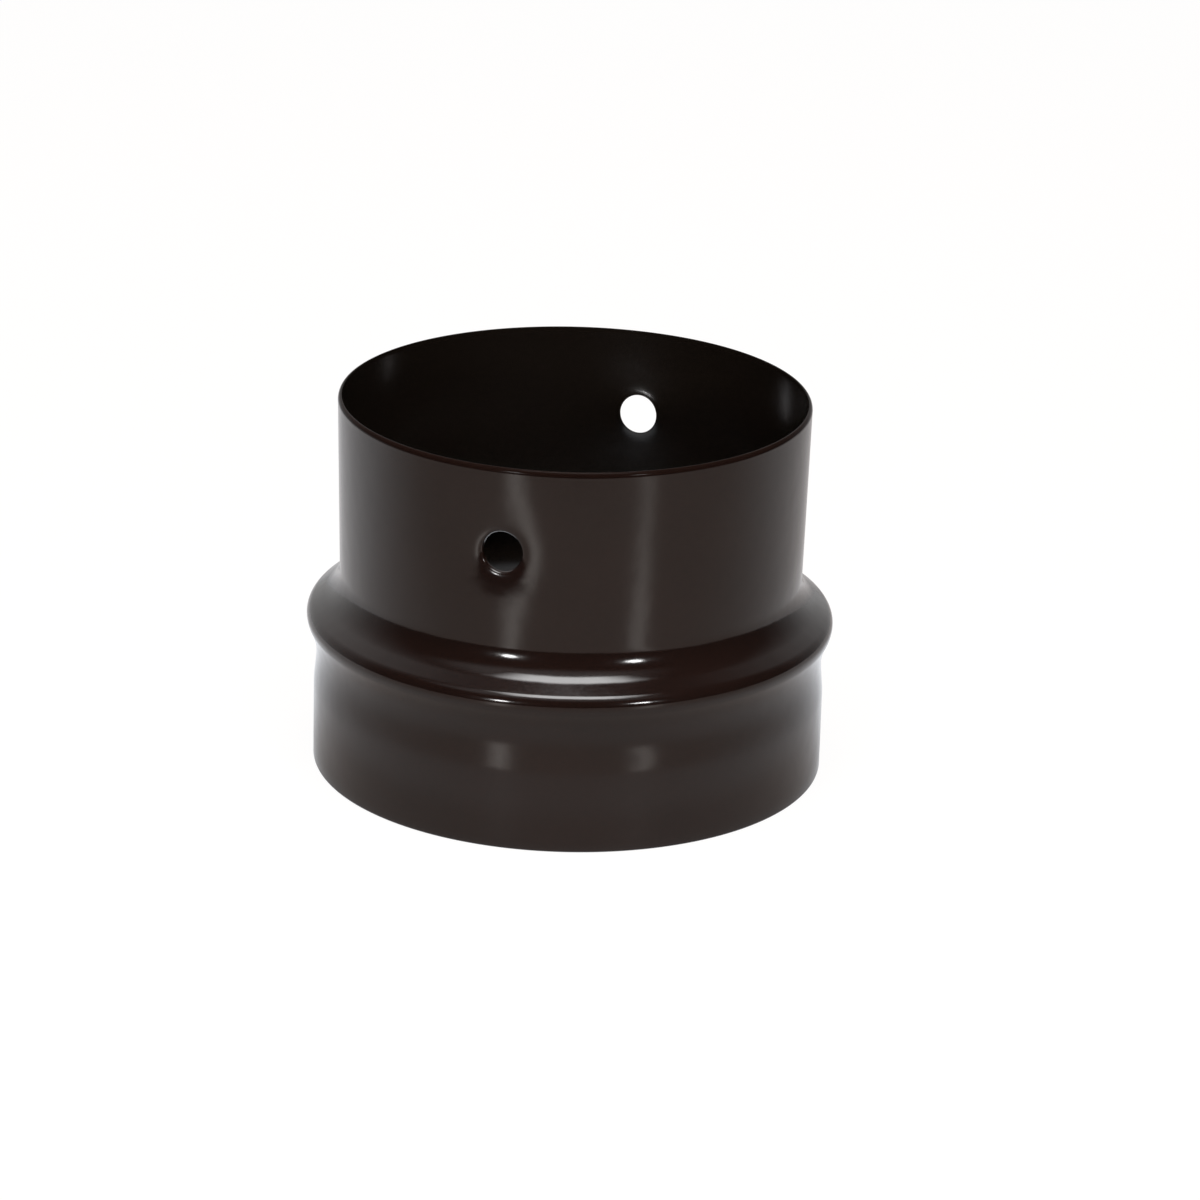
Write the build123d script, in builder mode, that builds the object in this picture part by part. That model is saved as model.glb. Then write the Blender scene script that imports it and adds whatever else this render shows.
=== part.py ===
"""Stove pipe reducer: one enamelled steel sleeve with a rolled bead between its two pipe ends."""
from math import exp, hypot, sqrt
import os

from build123d import *

# Sheet thickness, steel and enamel together
WALL = 1.0
HEIGHT = 97.3

# Upper end: a true cylinder at the rim, then the sheet draws in a little towards the bead
UPPER_R = 60.0
UPPER_LAND = 20.0
UPPER_DRAW = 0.87

# Lower end, one pipe size larger, drawn in towards the bead in the same way
LOWER_R = 65.55
LOWER_LAND = 18.0
LOWER_DRAW = 0.6

# Rolled bead: its crown stands proud of the larger end, tight above and full below,
# and a hollow leads into it from each end
BEAD_STAND = 1.95
BEAD_Z = 38.85
UPPER_CROWN = 3.85
UPPER_HOLLOW = 9.85
LOWER_CROWN = 6.0
LOWER_HOLLOW = 9.0

# Screw holes: opposite each other in the upper end, each in the middle of a pressed dish
HOLE_COUNT = 2
HOLE_R = 5.2
HOLE_DROP = 22.3
DISH_DEPTH = 1.4
DISH_SPREAD = 8.0
DISH_REACH = 2.2 * DISH_SPREAD
DISH_MARGIN = 0.25 * DISH_SPREAD
DISH_STEPS = 12

# Eased sheet edges, as shares of the thickness
RIM_EASE = 0.3 * WALL
HOLE_ROUND = 0.5 * WALL

HOLE_Z = HEIGHT - HOLE_DROP
FROM_AXIS = (Align.CENTER, Align.CENTER, Align.MIN)
UPPER_NECK_R = UPPER_R - UPPER_DRAW
LOWER_NECK_R = LOWER_R - LOWER_DRAW
BEAD_R = LOWER_R + BEAD_STAND


def bead_side(neck_r, hollow, crown, side, inset=0):
    """Where the hollow leaves the wall, and where it turns over into the crown.

    Hollow and crown are tangent arcs, so their centres lie the sum of the two radii apart.
    The side is +1 above the bead and -1 below it; the inset moves the face into the sheet.
    """
    span = crown + hollow
    across = neck_r + hollow - (BEAD_R - crown)
    rise = side * sqrt(span**2 - across**2)
    share = (crown - inset) / span
    leaves = (neck_r - inset, BEAD_Z + rise)
    turns = (BEAD_R - crown + share * across, BEAD_Z + share * rise)
    return leaves, turns


def upper_wall_r(z):
    """Outer radius of the upper end at a height: the land, then the draw down to the bead."""
    neck_z = bead_side(UPPER_NECK_R, UPPER_HOLLOW, UPPER_CROWN, 1)[0][1]
    land_z = HEIGHT - UPPER_LAND
    drawn = (land_z - z) / (land_z - neck_z)
    return UPPER_R - UPPER_DRAW * min(max(drawn, 0), 1)


def dish_depth(distance):
    """Depth of a dish under the wall: a bell curve over the distance from the hole axis."""
    bell = exp(-0.5 * (distance / DISH_SPREAD) ** 2)
    runs_out = exp(-0.5 * (DISH_REACH / DISH_SPREAD) ** 2)
    return DISH_DEPTH * (bell - runs_out)


def dish_punch(inset):
    """Body that presses the front dish into the wall face lying the inset inside the outer one."""
    half = DISH_REACH + DISH_MARGIN
    steps = [half * (2 * i / DISH_STEPS - 1) for i in range(DISH_STEPS + 1)]

    def pressed(x, dz):
        wall_r = upper_wall_r(HOLE_Z + dz) - inset
        return (x, dish_depth(hypot(x, dz)) - sqrt(wall_r**2 - x**2), HOLE_Z + dz)

    grid = [[pressed(x, dz) for x in steps] for dz in steps]
    face = Face.make_surface_from_array_of_points(grid, tol=0.001, min_deg=3, max_deg=5)
    return extrude(face, amount=half, dir=(0, -1, 0))


def sheet_face(inset):
    """Solid inside the sheet's outer face moved in by the inset, with the dishes pressed in."""
    punch = dish_punch(inset)
    upper_leaves, upper_turns = bead_side(UPPER_NECK_R, UPPER_HOLLOW, UPPER_CROWN, 1, inset)
    lower_leaves, lower_turns = bead_side(LOWER_NECK_R, LOWER_HOLLOW, LOWER_CROWN, -1, inset)
    crest = (BEAD_R - inset, BEAD_Z)
    with BuildPart() as form:
        with BuildSketch(Plane.XZ):
            with BuildLine():
                Polyline(
                    (0, HEIGHT),
                    (0, 0),
                    (LOWER_R - inset, 0),
                    (LOWER_R - inset, LOWER_LAND),
                    lower_leaves,
                )
                TangentArc(lower_leaves, lower_turns, tangent=(0, 1))
                TangentArc(crest, lower_turns, tangent=(0, -1))
                TangentArc(crest, upper_turns, tangent=(0, 1))
                TangentArc(upper_leaves, upper_turns, tangent=(0, -1))
                Polyline(
                    upper_leaves,
                    (UPPER_R - inset, HEIGHT - UPPER_LAND),
                    (UPPER_R - inset, HEIGHT),
                    (0, HEIGHT),
                )
            make_face()
        revolve(axis=Axis.Z)
        with PolarLocations(0, HOLE_COUNT):
            add(punch, mode=Mode.SUBTRACT)
    return form.part


def hole_mouth(wall):
    """Outer edge of a hole's wall, the one farther from the sleeve's axis."""
    curves = wall.edges().filter_by(GeomType.LINE, reverse=True)
    return curves.sort_by(lambda edge: hypot(edge.position_at(0).X, edge.position_at(0).Y))[-1]


outside = sheet_face(0)
inside = sheet_face(WALL)

with BuildPart() as reducer_sleeve:
    add(outside)
    add(inside, mode=Mode.SUBTRACT)
    with PolarLocations(0, HOLE_COUNT), Locations((0, 0, HOLE_Z)):
        Cylinder(HOLE_R, BEAD_R, rotation=(90, 0, 0), align=FROM_AXIS, mode=Mode.SUBTRACT)

    circles = reducer_sleeve.edges().filter_by(GeomType.CIRCLE).group_by(Axis.Z)
    chamfer([rim.sort_by(SortBy.RADIUS)[-1] for rim in (circles[0], circles[-1])], RIM_EASE)

    walls = reducer_sleeve.faces().filter_by(GeomType.CYLINDER).group_by(SortBy.RADIUS)[0]
    fillet([hole_mouth(wall) for wall in walls], HOLE_ROUND)

os.makedirs("parts", exist_ok=True)
reducer_sleeve.part.label = "reducer_sleeve"
export_step(reducer_sleeve.part, "parts/reducer_sleeve.step")
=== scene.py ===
# %% [markdown]
# # Stove pipe reducer: the looks
#
# The part is one sleeve of steel sheet, dipped in dark brown enamel. The CAD model is loaded first as a
# fixed frame. It says where the sleeve is and how large it may be. The finer sheet built here stands for
# it: nearly the same section, with softer edges and a lip round each hole.

import bpy
import numpy as np
from mathutils import Matrix, Vector


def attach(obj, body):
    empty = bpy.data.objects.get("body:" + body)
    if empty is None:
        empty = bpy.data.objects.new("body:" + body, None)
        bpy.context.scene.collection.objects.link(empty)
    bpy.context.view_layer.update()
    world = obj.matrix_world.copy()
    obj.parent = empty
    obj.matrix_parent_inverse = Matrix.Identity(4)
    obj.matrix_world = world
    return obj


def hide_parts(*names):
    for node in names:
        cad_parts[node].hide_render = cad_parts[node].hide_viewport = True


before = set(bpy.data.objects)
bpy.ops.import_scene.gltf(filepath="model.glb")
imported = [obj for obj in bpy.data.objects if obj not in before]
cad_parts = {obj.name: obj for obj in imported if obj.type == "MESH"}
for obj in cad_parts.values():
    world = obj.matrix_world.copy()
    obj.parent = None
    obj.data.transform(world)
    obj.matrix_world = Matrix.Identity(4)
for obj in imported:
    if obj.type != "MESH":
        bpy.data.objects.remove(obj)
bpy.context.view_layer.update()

# %% [markdown]
# ## The section of the sheet
#
# On the real reducer a tube is rolled against two shaped wheels, which throw up the bead. Cut through, the
# sheet shows a wall, a hollow, a short flank, a round crown, and the same again below. Blender could spin a
# hand-drawn curve. Here the section is worked out from its radii, so that a change of one radius moves
# everything that follows from it.

# %% Sizes, in millimetres
HEIGHT = 97.3
WALL = 1.0
UPPER_RIM_R, UPPER_NECK_R = 60.0, 59.13
LOWER_RIM_R, LOWER_NECK_R = 65.55, 64.95
LOWER_LAND = 19.5
BEAD_R, BEAD_Z = 67.47, 38.85
UPPER_CROWN, UPPER_HOLLOW = 3.65, 9.40
LOWER_CROWN, LOWER_HOLLOW = 5.0, 18.0
UPPER_TILT, LOWER_TILT = np.radians([56.0, 26.0])


def bead_rise(neck_r, arcs, tilt):
    """Height from the crest to a neck.

    The arcs take up a part of the drop from crest to neck, and a straight flank takes up the rest.
    """
    flank = (BEAD_R - neck_r - arcs * (1 - np.cos(tilt))) / np.sin(tilt)
    print("flank", flank.round(2), "mm")
    return arcs * np.sin(tilt) + flank * np.cos(tilt)


upper_neck_z = BEAD_Z + bead_rise(UPPER_NECK_R, UPPER_CROWN + UPPER_HOLLOW, UPPER_TILT)
lower_neck_z = BEAD_Z - bead_rise(LOWER_NECK_R, LOWER_CROWN + LOWER_HOLLOW, LOWER_TILT)
print("the bead reaches from", lower_neck_z.round(2), "to", upper_neck_z.round(2), "mm above the foot")

# %% [markdown]
# ## Arcs, walls and the inner face
#
# The wheels leave round arcs in the sheet, with plain walls above and below them. Each could be drawn as a
# Bezier curve. Here an arc is a function of the tilt of the sheet's face, so arcs and flanks meet without a
# kink. The tilt stays with each point, because the inside of the sheet is the same curve moved one thickness
# along its own normal.


# %% Arcs and walls as functions of one parameter
def arc(centre_r, centre_z, radius, tilts):
    """Points at a radius from a centre, in the direction of each tilt above the horizontal.

    A negative radius gives a hollow, whose normal points at its centre. Columns: radius, height, tilt.
    """
    return np.column_stack([centre_r + radius * np.cos(tilts), centre_z + radius * np.sin(tilts), tilts])


def eased(value, start, stop):
    """0 before start, 1 after stop, and a smooth turn between them."""
    share = np.clip((value - start) / (stop - start), 0, 1)
    return share * share * (3 - 2 * share)


def upper_wall_r(z):
    """Outer radius of the upper wall at a height, by proportion between neck and rim."""
    return UPPER_NECK_R + (UPPER_RIM_R - UPPER_NECK_R) * (z - upper_neck_z) / (HEIGHT - upper_neck_z)


def lower_wall_r(z):
    """Outer radius of the lower wall: true at the rim, then eased in to the neck."""
    return LOWER_RIM_R - (LOWER_RIM_R - LOWER_NECK_R) * eased(z, LOWER_LAND, lower_neck_z)


def wall(radius_at, heights):
    """A plain run of the sheet: a radius for each height, with no tilt."""
    return np.column_stack([radius_at(heights), heights, np.zeros_like(heights)])


def inset(face, depth):
    """The face moved into the sheet by a depth, along its own normal."""
    r, z, tilt = face.T
    return np.column_stack([r - depth * np.cos(tilt), z - depth * np.sin(tilt), tilt])


print("upper wall", upper_wall_r(HEIGHT), "mm at the rim; lower wall", lower_wall_r(0), "mm at the foot")

# %% [markdown]
# ## Rows and columns
#
# The sleeve is the section carried round a circle, so its grid has rows along the section and one column for
# each degree. The screw holes sit in a square window of that grid, 36 cells each way. The rows of the upper
# wall are spaced so that the cells in the window are square, because a neat ring of faces round each hole
# has to join them later. The cut edges are rounded, as the melted enamel rounds them.

# %% Rows of a face
COLUMNS = 360
HALF_WINDOW = 18
HOLE_Z = 75.0
CELL = UPPER_RIM_R * 2 * np.pi / COLUMNS
EDGE_WIDE, EDGE_HIGH, EDGE_IN = 0.75, 1.5, 0.22
window_z = HOLE_Z + CELL * np.arange(-HALF_WINDOW, HALF_WINDOW + 1)


def steps(start, stop, count):
    """Evenly spaced values from start up to, but without, stop."""
    return np.linspace(start, stop, count, endpoint=False)


def face_rows(share):
    """The sheet's outer face from foot to rim, run by run, with a number of rows for each run.

    The share thins out the rows where the face is seldom seen.
    """
    count = lambda n: max(int(n * share), 3)
    hollow_low = (LOWER_NECK_R + LOWER_HOLLOW, lower_neck_z, -LOWER_HOLLOW)
    crown_low = (BEAD_R - LOWER_CROWN, BEAD_Z, LOWER_CROWN)
    crown_up = (BEAD_R - UPPER_CROWN, BEAD_Z, UPPER_CROWN)
    hollow_up = (UPPER_NECK_R + UPPER_HOLLOW, upper_neck_z, -UPPER_HOLLOW)
    return np.vstack([
        wall(lower_wall_r, steps(EDGE_WIDE, LOWER_LAND, count(6))),
        wall(lower_wall_r, steps(LOWER_LAND, lower_neck_z, count(16))),
        arc(*hollow_low, -np.linspace(0, LOWER_TILT, count(12))),
        arc(*crown_low, -steps(LOWER_TILT, 0, count(14))),
        arc(*crown_up, np.linspace(0, UPPER_TILT, count(20))),
        arc(*hollow_up, steps(UPPER_TILT, 0, count(26))),
        wall(upper_wall_r, steps(upper_neck_z, window_z[0], 4)),
        wall(upper_wall_r, window_z),
        wall(upper_wall_r, np.linspace(window_z[-1], HEIGHT - EDGE_HIGH, 4)[1:]),
    ])


print("a cell of the window is", round(CELL, 3), "mm wide")

# %% Both faces and both edges in one closed section
INNER_SHARE = 0.35


def rolled_edge(r_out, z_edge, up, high):
    """A cut edge rounded by the enamel: a quarter ellipse outside and a tight quarter round inside."""
    turn = np.linspace(0, np.pi / 2, 10)[1:]
    wide = np.column_stack([
        r_out - EDGE_WIDE * (1 - np.cos(turn)),
        z_edge - up * high * (1 - np.sin(turn)),
    ])
    turn = np.linspace(0, np.pi / 2, 5)
    tight = np.column_stack([
        r_out - WALL + EDGE_IN * (1 - np.sin(turn)),
        z_edge - up * EDGE_IN * (1 - np.cos(turn)),
    ])
    return np.vstack([wide, tight])


outer = face_rows(1.0)[:, :2]
inner = inset(face_rows(INNER_SHARE), WALL)[:, :2]
inner = inner[(inner[:, 1] > EDGE_IN) & (inner[:, 1] < HEIGHT - EDGE_IN)]
rim = rolled_edge(UPPER_RIM_R, HEIGHT, 1, EDGE_HIGH)
foot = rolled_edge(LOWER_RIM_R, 0, -1, EDGE_WIDE)
section = np.vstack([outer, rim, inner[::-1], foot[::-1]])
outer_mid = int(np.argmin(abs(outer[:, 1] - HOLE_Z)))
inner_first = len(outer) + len(rim)
inner_mid = inner_first + int(np.argmin(abs(inner[::-1, 1] - HOLE_Z)))
print(len(section), "rows of", COLUMNS, "columns; hole rows", outer_mid, inner_mid)

# %% [markdown]
# ## The pressed dishes
#
# Each screw hole was punched through a shallow dish, so that the screw's head sinks in and the pipe outside
# still slides past. Two things happen to the sheet there. It sinks over a wide area, and close to the hole
# the punch drags its edge in a little further. Both are depths that depend on the distance from the hole's
# axis alone, so one function serves every point of the sheet, and nothing has to be sculpted.

# %% Depth of the dishes
HOLE_R = 5.2
DISH_DEPTH, DISH_SPREAD = 1.32, 8.6
LIP_DEPTH, LIP_SPREAD = 0.42, 0.9


def dish(distance):
    """A bell curve over the distance from the hole's axis, plus a lip that fades out from the hole's edge."""
    bell = DISH_DEPTH * np.exp(-0.5 * (distance / DISH_SPREAD) ** 2)
    lip = LIP_DEPTH * np.exp(-np.clip(distance - HOLE_R, 0, None) / LIP_SPREAD)
    return bell + lip


def dishes_at(turn, z):
    """Depth at an angle round the sleeve and a height, from the nearer of the two opposite holes."""
    beside = UPPER_RIM_R * (np.mod(turn + np.pi / 2, np.pi) - np.pi / 2)
    return np.where(z > upper_neck_z, dish(np.hypot(beside, z - HOLE_Z)), 0)


def placed(turn, r, z):
    """Points in metres: the angle is counted from the front, where the first hole is, towards +X."""
    return np.stack([r * np.sin(turn), -r * np.cos(turn), z + 0 * r], axis=-1) / 1000


turn = np.radians(np.arange(COLUMNS))[None, :]
rows_r, rows_z = section[:, :1], section[:, 1:]
grid = placed(turn, rows_r - dishes_at(turn, rows_z), rows_z).reshape(-1, 3)
print(len(grid), "grid points; deepest point of a dish", float(dish(HOLE_R).round(2)), "mm")

# %% [markdown]
# ## The hole's rings
#
# A round hole doesn't fit a square grid. A Boolean would cut it, but leaves thin slivers that spoil the
# gloss. So the square window is taken out, and rings of faces lead from its border to the hole: the
# outermost ring is the border itself, the next ones turn step by step into circles, and the last ones run
# over the lip, through the sheet's thickness and back out along the inside to the inner window's border.

# %% The window's border
BORDER = 8 * HALF_WINDOW


def border_cell(index):
    """Where a border point lies, in cells beside and above the hole, counted anticlockwise from the right."""
    half, quarter = BORDER // 2, BORDER // 4

    def along(i):
        return np.clip(abs(np.mod(i, BORDER) - half) - quarter, -HALF_WINDOW, HALF_WINDOW)

    return along(index), along(index - quarter)


index = np.arange(BORDER)
beside_cell, above_cell = border_cell(index)
square = CELL * np.column_stack([beside_cell, above_cell])
spoke = 2 * np.pi * index / BORDER
circle = np.column_stack([np.cos(spoke), np.sin(spoke)])
print("the window's border has", BORDER, "points")

# %% Rings from the window to the hole and out again
HOLE_ROUND_OUT, HOLE_ROUND_IN = 0.65, 0.22
OUTER_RINGS, INNER_RINGS, CROWDING = 22, 14, 1.6


def lead_in(radius, depth, count):
    """Rings between the square border and a circle, closer together towards the circle."""
    share = (1 - (1 - np.linspace(0, 1, count + 1)[1:]) ** CROWDING)[:, None, None]
    flat = (1 - share) * square + share * radius * circle
    return np.concatenate([flat, np.full(flat.shape[:2] + (1,), depth)], axis=-1)


def hoops(radii, depths):
    """Full circles round the hole's axis, each with its own radius and depth in the sheet."""
    flat = np.asarray(radii)[:, None, None] * circle
    deep = np.broadcast_to(np.asarray(depths)[:, None, None], flat.shape[:2] + (1,))
    return np.concatenate([flat, deep], axis=-1)


quarter = np.linspace(0, np.pi / 2, 8)[1:]
small_quarter = np.linspace(0, np.pi / 2, 5)
rings = np.concatenate([
    lead_in(HOLE_R + HOLE_ROUND_OUT, 0, OUTER_RINGS),
    hoops(HOLE_R + HOLE_ROUND_OUT * (1 - np.sin(quarter)), HOLE_ROUND_OUT * (1 - np.cos(quarter))),
    hoops(
        HOLE_R + HOLE_ROUND_IN * (1 - np.cos(small_quarter)),
        WALL - HOLE_ROUND_IN * (1 - np.sin(small_quarter)),
    ),
    lead_in(HOLE_R + HOLE_ROUND_IN, WALL, INNER_RINGS)[-2::-1],
])
print(len(rings), "rings of", BORDER, "points round each hole")

# %% [markdown]
# ## One closed skin
#
# The real sleeve is one piece of sheet, so its model is one skin without a gap. Blender can merge points
# that lie close together, but which ones it takes depends on a distance that has to be guessed. Here the
# rings use the numbers of the grid's own border points, so nothing has to be merged. At the end the sign of
# the volume says whether the faces look outwards.


# %% Join grid and rings
def window_cut(first_column, middle_row):
    """True for the grid cells that lie in a hole's window."""
    row = np.arange(len(section))[:, None]
    column = np.mod(np.arange(COLUMNS)[None, :] - first_column + HALF_WINDOW, COLUMNS)
    in_rows = (row >= middle_row - HALF_WINDOW) & (row < middle_row + HALF_WINDOW)
    return in_rows & (column < 2 * HALF_WINDOW)


def quads(corner, right):
    """Faces between each loop of point numbers and the next loop, all the way round."""
    around = [corner, np.roll(corner, -1, axis=1), np.roll(right, -1, axis=1), right]
    return np.stack(around, axis=-1).reshape(-1, 4)


numbers = np.arange(len(grid)).reshape(len(section), COLUMNS)
cells = quads(numbers, np.roll(numbers, -1, axis=0))
hole_columns = (0, COLUMNS // 2)
cut = sum(window_cut(c, m) for c in hole_columns for m in (outer_mid, inner_mid)) > 0
points, faces = [grid], [cells[~cut.ravel()]]
for number, column in enumerate(hole_columns):
    first = len(grid) + number * rings.shape[0] * BORDER
    ring_turn = np.radians(column) + rings[..., 0] / UPPER_RIM_R
    ring_z = HOLE_Z + rings[..., 1]
    distance = np.hypot(rings[..., 0], rings[..., 1])
    ring_r = upper_wall_r(ring_z) - dish(distance) - rings[..., 2]
    points.append(placed(ring_turn, ring_r, ring_z).reshape(-1, 3))
    ring_numbers = first + np.arange(rings.shape[0] * BORDER).reshape(rings.shape[0], BORDER)
    at_column = np.mod(column + beside_cell, COLUMNS)
    outside = numbers[outer_mid + above_cell, at_column]
    inside = numbers[inner_mid - above_cell, at_column]
    loops = np.vstack([outside, ring_numbers, inside])
    faces.append(quads(loops[:-1], loops[1:]))
points, faces = np.vstack(points), np.vstack(faces)
print(len(faces), "faces on", len(points), "points, with those in the windows")

# %% Drop the unused points and turn the faces outwards
used, faces = np.unique(faces, return_inverse=True)
points, faces = points[used], faces.reshape(-1, 4)
a, b, c, d = (points[faces[:, i]] for i in range(4))
volume = (np.einsum("ij,ij->i", a, np.cross(b, c)) + np.einsum("ij,ij->i", a, np.cross(c, d))).sum() / 6
faces = faces if volume > 0 else faces[:, ::-1]
print(len(points), "points,", len(faces), "faces, sheet volume", abs(volume * 1e9).round(0), "mm3")

# %% [markdown]
# ## The sheet in Blender
#
# Points and faces become a mesh, and the mesh an object that stays at the origin, as the CAD part does.
# Smooth shading hides the small flat faces, as the enamel levels out the steel under it. More and smaller
# faces would do the same, but would be slower to draw. The object moves with the root body, stands for the
# CAD sleeve and wears the enamel.


# %% Put it into Blender
def smooth_mesh(name, points, faces):
    """A mesh object at the origin with these points and faces, shaded smooth."""
    mesh = bpy.data.meshes.new(name)
    mesh.from_pydata(points.tolist(), [], faces.tolist())
    mesh.polygons.foreach_set("use_smooth", np.ones(len(faces), bool))
    mesh.update()
    made = bpy.data.objects.new(name, mesh)
    bpy.context.scene.collection.objects.link(made)
    return made


sleeve = smooth_mesh("enamelled_sleeve", points, faces)
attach(sleeve, "root")
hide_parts("reducer_sleeve")
print(sleeve.name, "has", len(sleeve.data.polygons), "faces")

# %% [markdown]
# ## Where the enamel is thin
#
# Enamel is a glass that melts in the kiln and draws back from a cut edge. Along the upper rim it is thin and
# dull, and the base coat shows through. The lighter colour there is partly that coat and partly a painted
# highlight: the faint light line along the top of the rim. The foot keeps its gloss. A painted picture could
# say where, but it would need the sheet to be unwrapped. Instead, two numbers kept on each point say how near
# the upper rim is and which face of the sheet the point belongs to, and the material reads them.

# %% Edge and inside numbers on each point
EDGE_REACH = 1.0
INSIDE_FROM, INSIDE_TO = 0.55 * WALL, 0.95 * WALL


def edge_share(points):
    """1 at the upper rim, falling off as a broad bell curve over the distance below it in millimetres."""
    z = 1000 * points[:, 2]
    return np.exp(-(((HEIGHT - z) / EDGE_REACH) ** 4))


def inside_share(points):
    """1 on the bore's side of the sheet and 0 outside, from how far a point lies inside the outer face."""
    x, y, z = (1000 * points).T
    round_the_axis, turn = np.hypot(x, y), np.arctan2(x, -y)
    outside = np.interp(z, outer[:, 1], outer[:, 0]) - dishes_at(turn, z)
    return eased(outside - round_the_axis, INSIDE_FROM, INSIDE_TO)


def keep_number(piece, name, values):
    """Stores one number on each point of a piece, for its material to read."""
    made = piece.data.attributes.new(name, "FLOAT", "POINT")
    made.data.foreach_set("value", values.astype(np.float32))
    print(name, "from", values.min().round(3), "to", values.max().round(3))


keep_number(sleeve, "edge", edge_share(points))
keep_number(sleeve, "inside", inside_share(points))

# %% [markdown]
# ## The enamel
#
# The finish is a very dark chocolate brown glass that varies a little where it lies thicker. It is glossy but
# not flat: a slow unevenness a few millimetres across makes reflections waver, and a finer grain lies on it.
# One Principled shader gives all of it. Noise drives its colour, its roughness and two bumps, and the numbers
# on the points take the gloss back along the upper rim and inside. A picture of enamel could be laid over the
# sheet instead, but noise in the object's own coordinates has no seam and stays sharp from close by.

# %% Helpers for the enamel's nodes
enamel = bpy.data.materials.new("brown_enamel")
enamel.use_nodes = True
nodes, links = enamel.node_tree.nodes, enamel.node_tree.links
shader = nodes["Principled BSDF"]
where = nodes.new("ShaderNodeTexCoord")


def noise(scale, detail):
    """Noise on Object coordinates; the scale is in waves to the metre."""
    node = nodes.new("ShaderNodeTexNoise")
    node.inputs["Scale"].default_value = scale
    node.inputs["Detail"].default_value = detail
    links.new(where.outputs["Object"], node.inputs["Vector"])
    return node.outputs["Fac"]


def number_on(name):
    """The number that the mesh keeps on its points under a name."""
    node = nodes.new("ShaderNodeAttribute")
    node.attribute_name = name
    return node.outputs["Fac"]


def ranged(value, low, high, to_low, to_high):
    """A value's range from low to high carried over to another range."""
    node = nodes.new("ShaderNodeMapRange")
    for socket, number in zip(("From Min", "From Max", "To Min", "To Max"), (low, high, to_low, to_high)):
        node.inputs[socket].default_value = number
    links.new(value, node.inputs["Value"])
    return node.outputs["Result"]


def calculated(operation, first, second):
    """Two numbers added, multiplied or compared."""
    node = nodes.new("ShaderNodeMath")
    node.operation = operation
    links.new(first, node.inputs[0])
    links.new(second, node.inputs[1])
    return node.outputs["Value"]


thickness = noise(38, 3)
ripple = noise(150, 1.5)
grain = noise(1400, 2)
print("noises:", sum(node.type == "TEX_NOISE" for node in nodes))

# %% Colour of the enamel
THICK_GLASS, THIN_GLASS = (0.0112, 0.0045, 0.0030), (0.0142, 0.0060, 0.0042)
# The rim colour is lighter than the glass: partly thin enamel over the base coat, partly a painted highlight
# for the faint light line along the rim's top.
GROUND_COAT, RIM_COAT_AND_HIGHLIGHT = (0.0097, 0.0069, 0.0051), (0.019, 0.011, 0.009)
RIM_COAT_AND_HIGHLIGHT_SHARE = 0.4


def mixed(share, first, second):
    """One colour turning into another; each is a tuple or an output."""
    node = nodes.new("ShaderNodeMix")
    node.data_type = "RGBA"
    links.new(share, node.inputs["Factor"])
    for socket, colour in ((node.inputs[6], first), (node.inputs[7], second)):
        if isinstance(colour, tuple):
            socket.default_value = (*colour, 1)
        else:
            links.new(colour, socket)
    return node.outputs[2]


body = mixed(ranged(thickness, 0.35, 0.65, 0, 1), THICK_GLASS, THIN_GLASS)
# Towards the upper rim the colour lightens: thin enamel, and a painted highlight along the rim's top.
body = mixed(ranged(number_on("edge"), 0.2, 1.0, 0, RIM_COAT_AND_HIGHLIGHT_SHARE), body, RIM_COAT_AND_HIGHLIGHT)
links.new(mixed(number_on("inside"), body, GROUND_COAT), shader.inputs["Base Color"])
print("colour nodes:", len(nodes))

# %% Gloss and unevenness of the enamel
SMOOTHEST, ROUGHEST, INSIDE_HAZE = 0.10, 0.14, 0.08
FULL_GLOSS, EDGE_GLOSS, INSIDE_GLOSS = 0.5, 0.03, 0.7
RIPPLE_HIGH, GRAIN_HIGH = 0.00006, 0.0000012


def bumped(height, size, under=None):
    """A bump node whose height is in metres; under is the bump that it lies on."""
    node = nodes.new("ShaderNodeBump")
    node.inputs["Distance"].default_value = size
    links.new(height, node.inputs["Height"])
    if under is not None:
        links.new(under, node.inputs["Normal"])
    return node.outputs["Normal"]


grainy = ranged(grain, 0.3, 0.7, SMOOTHEST, ROUGHEST)
hazy = ranged(number_on("inside"), 0, 1, 0, INSIDE_HAZE)
links.new(calculated("ADD", grainy, hazy), shader.inputs["Roughness"])
gloss = ranged(number_on("edge"), 0.05, 0.6, FULL_GLOSS, EDGE_GLOSS)
gloss = calculated("MULTIPLY", gloss, ranged(number_on("inside"), 0, 1, 1, INSIDE_GLOSS))
links.new(gloss, shader.inputs["Specular IOR Level"])
shader.inputs["IOR"].default_value = 1.5
links.new(bumped(grain, GRAIN_HIGH, bumped(ripple, RIPPLE_HIGH)), shader.inputs["Normal"])
sleeve.data.materials.append(enamel)
print("enamel nodes:", len(nodes))

# %% [markdown]
# ## The studio and its lamps
#
# A glossy dark part shows the room as much as itself. This one stands on a pale table under a wide soft
# panel, with two small lamps in front, a white room behind and a dark one on the camera's side. The lamps are
# the two points of light on the bead. Each could be a shining ball, but an area lamp gives less noise, and
# its power follows from how bright its face should look.

# %% Directions seen from the sleeve
CAMERA_TURN = np.radians(17.0)


def towards(azimuth, elevation):
    """Unit vector from the sleeve, the azimuth in degrees to the right of the camera's own direction."""
    a, e = CAMERA_TURN + np.radians(azimuth), np.radians(elevation)
    return np.stack([np.sin(a) * np.cos(e), -np.cos(a) * np.cos(e), np.sin(e) + 0 * a], axis=-1)


middle = Vector((0, 0, 0.045))
print("the camera stands towards", towards(0, 0).round(3))

# %% Lamps
LAMP_AWAY, LAMP_WIDE, LAMP_BRIGHT = 1.1, 0.13, 45


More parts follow.
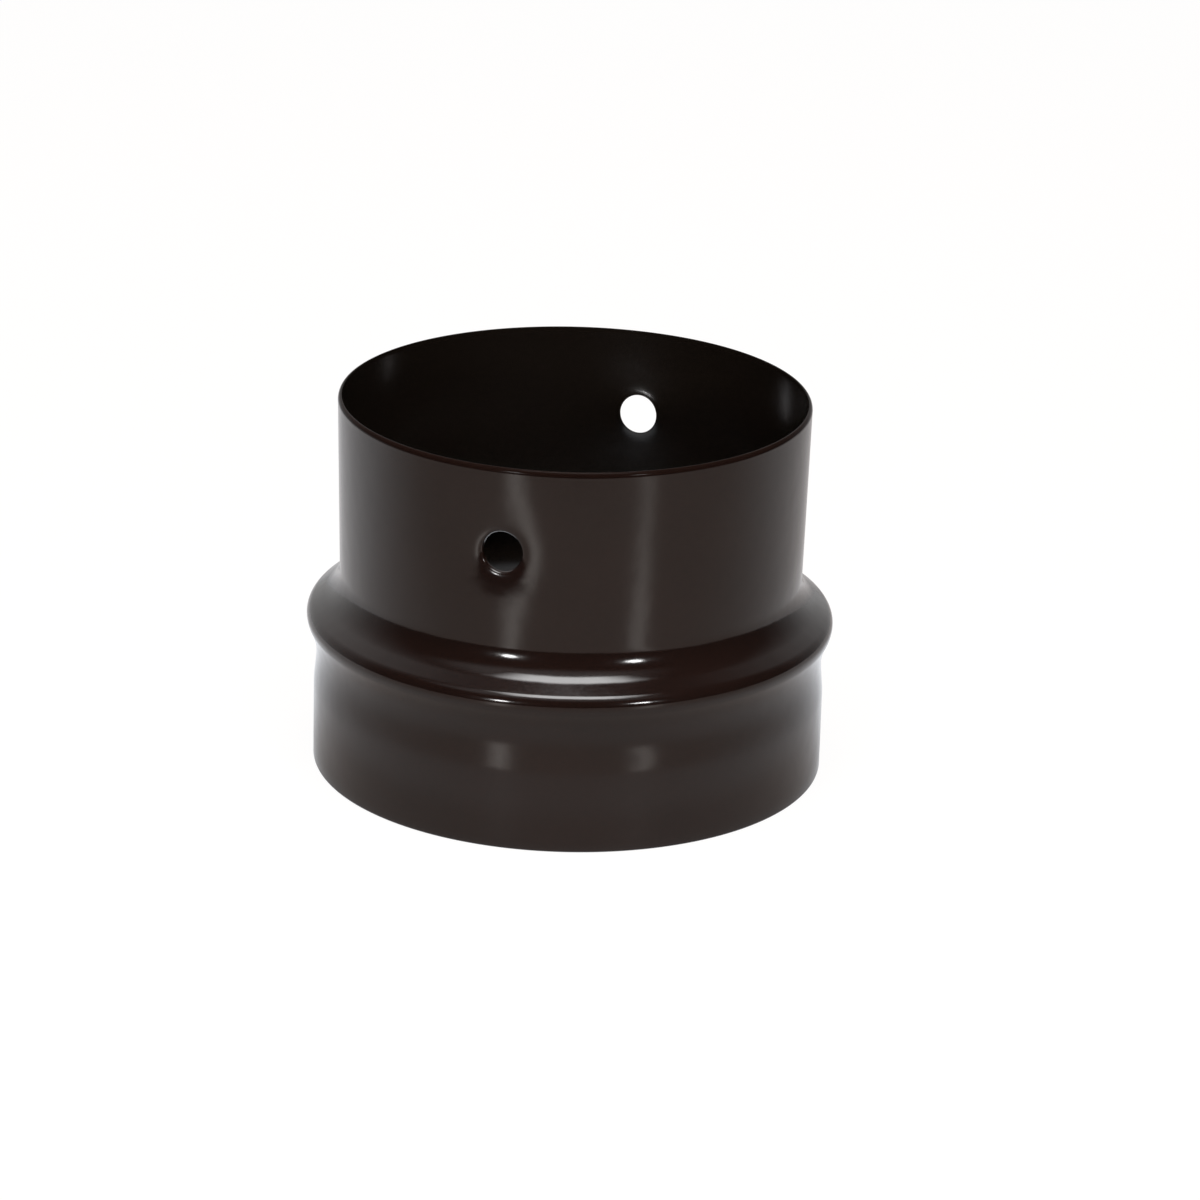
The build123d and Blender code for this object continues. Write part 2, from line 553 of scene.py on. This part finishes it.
def soft_lamp(name, azimuth, elevation):
    """A round flat lamp facing the sleeve; the power follows from the brightness of its face and its area."""
    light = bpy.data.lights.new(name, "AREA")
    light.shape, light.size, light.size_y = "ELLIPSE", LAMP_WIDE, LAMP_WIDE
    area = LAMP_WIDE * LAMP_WIDE * np.pi / 4
    light.energy = float(LAMP_BRIGHT * np.pi * area)
    lamp = bpy.data.objects.new(name, light)
    back = Vector(towards(azimuth, elevation))
    lamp.location = middle + LAMP_AWAY * back
    lamp.rotation_mode = "QUATERNION"
    lamp.rotation_quaternion = back.to_track_quat("Z", "Y")
    lamp.visible_camera = False
    bpy.context.scene.collection.objects.link(lamp)
    print(name, "power", round(light.energy, 2), "W")


soft_lamp("left_lamp", -27.6, 10.5)
soft_lamp("right_lamp", 31.0, 16.5)

# %% [markdown]
# ## The overhead panel
#
# The bright bands along the bead are the mirror image of a wide soft panel above and in front of the sleeve.
# An area lamp could give the same light, but its edge would show in the gloss as a hard line. So the panel
# is a sheet that shines, and a number on each of its points lets the shine fade out towards its edges.


# %% Level sheets that shine
def shining(name, strength_at):
    """A material that only shines, as strongly as the number kept on the mesh."""
    made = bpy.data.materials.new(name)
    made.use_nodes = True
    tree = made.node_tree
    tree.nodes.clear()
    kinds = ("Attribute", "Emission", "OutputMaterial")
    number, glow, out = (tree.nodes.new("ShaderNode" + kind) for kind in kinds)
    number.attribute_name = strength_at
    tree.links.new(number.outputs["Fac"], glow.inputs["Strength"])
    tree.links.new(glow.outputs["Emission"], out.inputs["Surface"])
    return made


def flat_grid(name, side, ahead, height, curve=0):
    """A level sheet from two runs of distances, to the right of the camera's direction and towards it.

    The curve draws its front edge back on the left, by the square of the distance from the middle.
    """
    s, a = np.meshgrid(side, ahead)
    a = np.where(a > 0, a * (1 - curve * np.minimum(s, 0) ** 2), a)
    spread = s[..., None] * towards(90, 0) + a[..., None] * towards(0, 0) + (0, 0, height)
    numbers = np.arange(s.size).reshape(s.shape)
    corners = (numbers[:-1, :-1], numbers[:-1, 1:], numbers[1:, 1:], numbers[1:, :-1])
    made = smooth_mesh(name, spread.reshape(-1, 3), np.stack(corners, axis=-1).reshape(-1, 4))
    print(name, "has", s.size, "points")
    return made, s.ravel(), a.ravel()


# %% Overhead panel
PANEL_HEIGHT, PANEL_FORWARD = 1.25, 0.43
PANEL_WIDE, PANEL_DEEP = 0.56, 0.335
SIDE_FADE, DEEP_FADE = 0.36, 0.16
PANEL_BRIGHT = 11.3

span = np.linspace(-1, 1, 41)
panel, side, ahead = flat_grid(
    "overhead_panel", PANEL_WIDE * span, PANEL_FORWARD + PANEL_DEEP * span, PANEL_HEIGHT
)
fade = eased(PANEL_WIDE - abs(side), 0, SIDE_FADE)
fade *= eased(PANEL_DEEP - abs(ahead - PANEL_FORWARD), 0, DEEP_FADE)
keep_number(panel, "shine", PANEL_BRIGHT * fade)
panel.data.materials.append(shining("panel_cloth", "shine"))
panel.visible_camera = False

# %% [markdown]
# ## The table
#
# The walls mirror the table that the sleeve stands on: pale light from behind, and two long pools where the
# lamps' beams meet it, which show as streaks up the wall. More lamps could light the table so, but they would
# light the sleeve as well. So the table keeps this glow as numbers on its points, and only reflections see
# it. The camera sees the board with part of the white background mixed in, so the sleeve's shadow stays.

# %% Table top
FRONT_EDGE, BACK_EDGE, LEFT_EDGE, RIGHT_EDGE = 0.33, -3.0, -0.36, 0.5
FINE_FROM, TABLE_ROWS, TABLE_COLUMNS = -0.2, 213, 288
FRONT_CURVE = 5.8

table, side, ahead = flat_grid(
    "table",
    np.linspace(LEFT_EDGE, RIGHT_EDGE, TABLE_COLUMNS),
    np.r_[BACK_EDGE, np.linspace(FINE_FROM, FRONT_EDGE, TABLE_ROWS)],
    0,
    FRONT_CURVE,
)

# %% Light from behind, in shares of white over distances in metres
BEHIND_GLOW, RIGHT_LOSS = 0.46, 0.45
RING_GLOW, RING_BEHIND = 0.10, 0.12
FOOT_LOSS, FOOT_SLANT, FOOT_GAIN = 0.7, 0.35, 0.22
UNDER_GLOW = 0.35


def backlight_at(side, ahead):
    """Glow of the table as the sleeve sees it.

    It rises from front to back, and loses some far out on the right. A ring round the sleeve adds a little,
    more behind than in front. Round the foot it is held back in front and raised behind, and under the
    sleeve it rises again.
    """
    away = np.hypot(side, ahead)
    far_right = eased(side, 0, 0.12) * eased(away, 0.13, 0.20)
    glow = BEHIND_GLOW * eased(ahead, 0.14, -0.10) * (1 - RIGHT_LOSS * far_right)
    glow += (RING_GLOW + RING_BEHIND * eased(ahead, 0.05, -0.05)) * eased(away, 0.16, 0.11)
    round_foot = eased(away, 0.1, 0.08) * eased(away, 0.06, 0.068)
    glow *= 1 - FOOT_LOSS * round_foot * eased(ahead - FOOT_SLANT * abs(side), -0.06, 0.02)
    behind_foot = eased(away, 0.15, 0.11) * eased(away, 0.068, 0.075) * eased(ahead, 0.0, -0.06)
    return glow + FOOT_GAIN * behind_foot + UNDER_GLOW * eased(away, 0.071, 0.058)


keep_number(table, "backlight", backlight_at(side, ahead))

# %% Pools of lamp light
POOL_NARROW, POOL_WIDENS, WIDENS_FROM = 0.0075, 0.045, 0.16
POOL_STARTS, POOL_FADES = (0.13, 0.155), (0.19, 0.28)


def pool(azimuth, on_side, on_ahead, strength, loss):
    """A long pool of lamp light through a place on the table.

    It is a bell curve across a line that runs towards the lamp. It widens on its way and loses a share.
    """
    turn = np.radians(azimuth)
    along = np.sin(turn) * side + np.cos(turn) * ahead
    across = np.cos(turn) * (side - on_side) - np.sin(turn) * (ahead - on_ahead)
    spread = POOL_NARROW + POOL_WIDENS * np.clip(along - WIDENS_FROM, 0, None)
    bell = strength * np.exp(-0.5 * (across / spread) ** 2)
    return bell * eased(along, *POOL_STARTS) * (1 - loss * eased(along, *POOL_FADES))


left_pool = pool(azimuth=-28, on_side=-0.081, on_ahead=0.1775, strength=1.29, loss=0)
right_pool = pool(azimuth=40, on_side=0.098, on_ahead=0.174, strength=1.13, loss=0.4)
keep_number(table, "pools", left_pool + right_pool)

# %% Table material
BOARD = (0.43, 0.345, 0.298, 1)
COOL, WARM = (0.88, 0.98, 1.08), (1.04, 0.99, 0.94)
WHITE_GLOW, WHITE_SEEN, WHITE_MIRRORED = 1.19, 0.8, 0.15

top = bpy.data.materials.new("pale_table")
top.use_nodes = True
nodes, links = top.node_tree.nodes, top.node_tree.links
board = nodes["Principled BSDF"]
board.inputs["Base Color"].default_value = BOARD
board.inputs["Roughness"].default_value = 0.5
board.inputs["Specular IOR Level"].default_value = 0.05
ray, white, share = (nodes.new("ShaderNode" + kind) for kind in ("LightPath", "Emission", "MixShader"))


def lit_by(surface, name, colour):
    """A surface with the light that the mesh keeps under a name, as the glossy sleeve sees it."""
    glow, both = nodes.new("ShaderNodeEmission"), nodes.new("ShaderNodeAddShader")
    glow.inputs["Color"].default_value = (*colour, 1)
    links.new(calculated("MULTIPLY", number_on(name), ray.outputs["Is Glossy Ray"]), glow.inputs["Strength"])
    links.new(surface, both.inputs[0])
    links.new(glow.outputs["Emission"], both.inputs[1])
    return both.outputs["Shader"]


seen = lit_by(board.outputs["BSDF"], "backlight", COOL)
seen = lit_by(seen, "pools", WARM)
white.inputs["Strength"].default_value = WHITE_GLOW
mirrored = calculated("MAXIMUM", ray.outputs["Is Glossy Ray"], ray.outputs["Is Transmission Ray"])
direct = ranged(ray.outputs["Is Camera Ray"], 0, 1, 0, WHITE_SEEN)
links.new(calculated("ADD", direct, ranged(mirrored, 0, 1, 0, WHITE_MIRRORED)), share.inputs["Fac"])
links.new(seen, share.inputs[1])
links.new(white.outputs["Emission"], share.inputs[2])
links.new(share.outputs["Shader"], nodes["Material Output"].inputs["Surface"])
table.data.materials.append(top)
print("table nodes:", len(nodes))

# %% [markdown]
# ## The room
#
# The sides of the sleeve mirror the room, which is white behind it and dark on the camera's side. Walls and
# curtains could be built one by one. A dome is simpler: its cover is thin where the room is white and dense
# where it is dark, a number on each point says how dense, and the white is the world behind it.

# %% Dome
ROOM_R, ROOM_ROWS, ROOM_COLUMNS = 3.5, 100, 180
LOWEST, HIGHEST = -60, 89


def dome(name):
    """A sphere round the sleeve as a grid over azimuth and elevation, with both angles of its points."""
    azimuth = np.linspace(-180, 180, ROOM_COLUMNS, endpoint=False)
    elevation = np.linspace(LOWEST, HIGHEST, ROOM_ROWS)
    at = np.stack(np.meshgrid(azimuth, elevation), axis=-1)
    shell = ROOM_R * towards(at[..., 0], at[..., 1])
    numbers = np.arange(ROOM_ROWS * ROOM_COLUMNS).reshape(ROOM_ROWS, ROOM_COLUMNS)
    made = smooth_mesh(name, shell.reshape(-1, 3), quads(numbers[:-1], numbers[1:]))
    return made, at.reshape(-1, 2)


room, at = dome("room")
room.visible_camera = room.visible_shadow = False
print("the dome has", len(at), "points")

# %% Where the cover is dense, over angles in degrees
FRONT_WHITE, BACK_GAIN, MOST_WHITE = 0.05, 0.66, 0.8
FRONT_MIDDLE, WHITENS = 9.5, (90, 159)
CEILING_GAIN, CEILING_RISES = 0.5, (38, 52)
CEILING_MIDDLE, CEILING_NEARS = -15, (85, 35)


def cover(azimuth, elevation):
    """How much of the white each direction loses: nearly all in front, little behind, some at the ceiling."""
    white = FRONT_WHITE + BACK_GAIN * eased(abs(azimuth - FRONT_MIDDLE), *WHITENS)
    ceiling = CEILING_GAIN * eased(elevation, *CEILING_RISES)
    ceiling *= eased(abs(azimuth - CEILING_MIDDLE), *CEILING_NEARS)
    return 1 - np.clip(white + ceiling, 0, MOST_WHITE)


keep_number(room, "dense", cover(*at.T))

# %% Cover of the dome
DARK_CLOTH = (0.004, 0.004, 0.004, 1)

cloth = bpy.data.materials.new("dark_cover")
cloth.use_nodes = True
nodes, links = cloth.node_tree.nodes, cloth.node_tree.links
nodes.clear()
thick, clear, dark, share, out = (
    nodes.new("ShaderNode" + kind)
    for kind in ("Attribute", "BsdfTransparent", "BsdfDiffuse", "MixShader", "OutputMaterial")
)
thick.attribute_name = "dense"
dark.inputs["Color"].default_value = DARK_CLOTH
links.new(thick.outputs["Fac"], share.inputs["Fac"])
links.new(clear.outputs["BSDF"], share.inputs[1])
links.new(dark.outputs["BSDF"], share.inputs[2])
links.new(share.outputs["Shader"], out.inputs["Surface"])
room.data.materials.append(cloth)
print("cover nodes:", len(nodes))

# %% [markdown]
# ## The white beyond
#
# Behind the dome everything is white. A lit wall could stand there, but the world is simpler and has no edge.
# It is full white for the camera and in reflections, and half as bright for the soft light that falls on the
# sleeve, so that the enamel stays dark.

# %% World
SOFT_WHITE, FULL_WHITE = 0.5, 1.0

world = bpy.data.worlds.new("white_studio")
bpy.context.scene.world = world
world.use_nodes = True
nodes, links = world.node_tree.nodes, world.node_tree.links
white = nodes["Background"]
white.inputs["Color"].default_value = (1, 1, 1, 1)
ray = nodes.new("ShaderNodeLightPath")
shown = calculated("MAXIMUM", ray.outputs["Is Camera Ray"], ray.outputs["Is Glossy Ray"])
shown = calculated("MAXIMUM", shown, ray.outputs["Is Transmission Ray"])
links.new(ranged(shown, 0, 1, SOFT_WHITE, FULL_WHITE), white.inputs["Strength"])
bpy.context.scene.view_settings.view_transform = "Standard"
print("world nodes:", len(nodes))

# %% [markdown]
# ## The camera
#
# The picture was taken from about 1.27 m with a long lens, from 20 degrees above the table and 17 degrees
# to the right of the front hole. The camera is turned a trace off the sleeve's middle and rolled by a degree
# and a half, as a hand-held one is. A constraint could aim it, but would leave out the roll, so its three
# axes are worked out.

# %% Camera
LENS, SENSOR = 148.4, 36.0
DISTANCE, ELEVATION = 1.2682, 20.297
PAN, TILT, ROLL = np.radians([0.344, -0.103, 1.619])


def unit(vector):
    """The vector at length 1."""
    return vector / np.linalg.norm(vector)


back = towards(0, ELEVATION)
sideways = towards(90, 0)
upwards = np.cross(sideways, -back)
look = unit(-back + np.tan(PAN) * sideways + np.tan(TILT) * upwards)
level = unit(np.cross(look, (0, 0, 1)))
upright = np.cross(level, look)
across = np.cos(ROLL) * level + np.sin(ROLL) * upright
up = np.cos(ROLL) * upright - np.sin(ROLL) * level
lens = bpy.data.cameras.new("camera")
lens.lens, lens.sensor_width = LENS, SENSOR
camera = bpy.data.objects.new("camera", lens)
pose = np.eye(4)
pose[:3, :3] = np.column_stack([across, up, -look])
pose[:3, 3] = np.array(middle) + DISTANCE * back
camera.matrix_world = Matrix(pose.tolist())
bpy.context.scene.collection.objects.link(camera)
bpy.context.scene.camera = camera
print("camera at", pose[:3, 3].round(3))
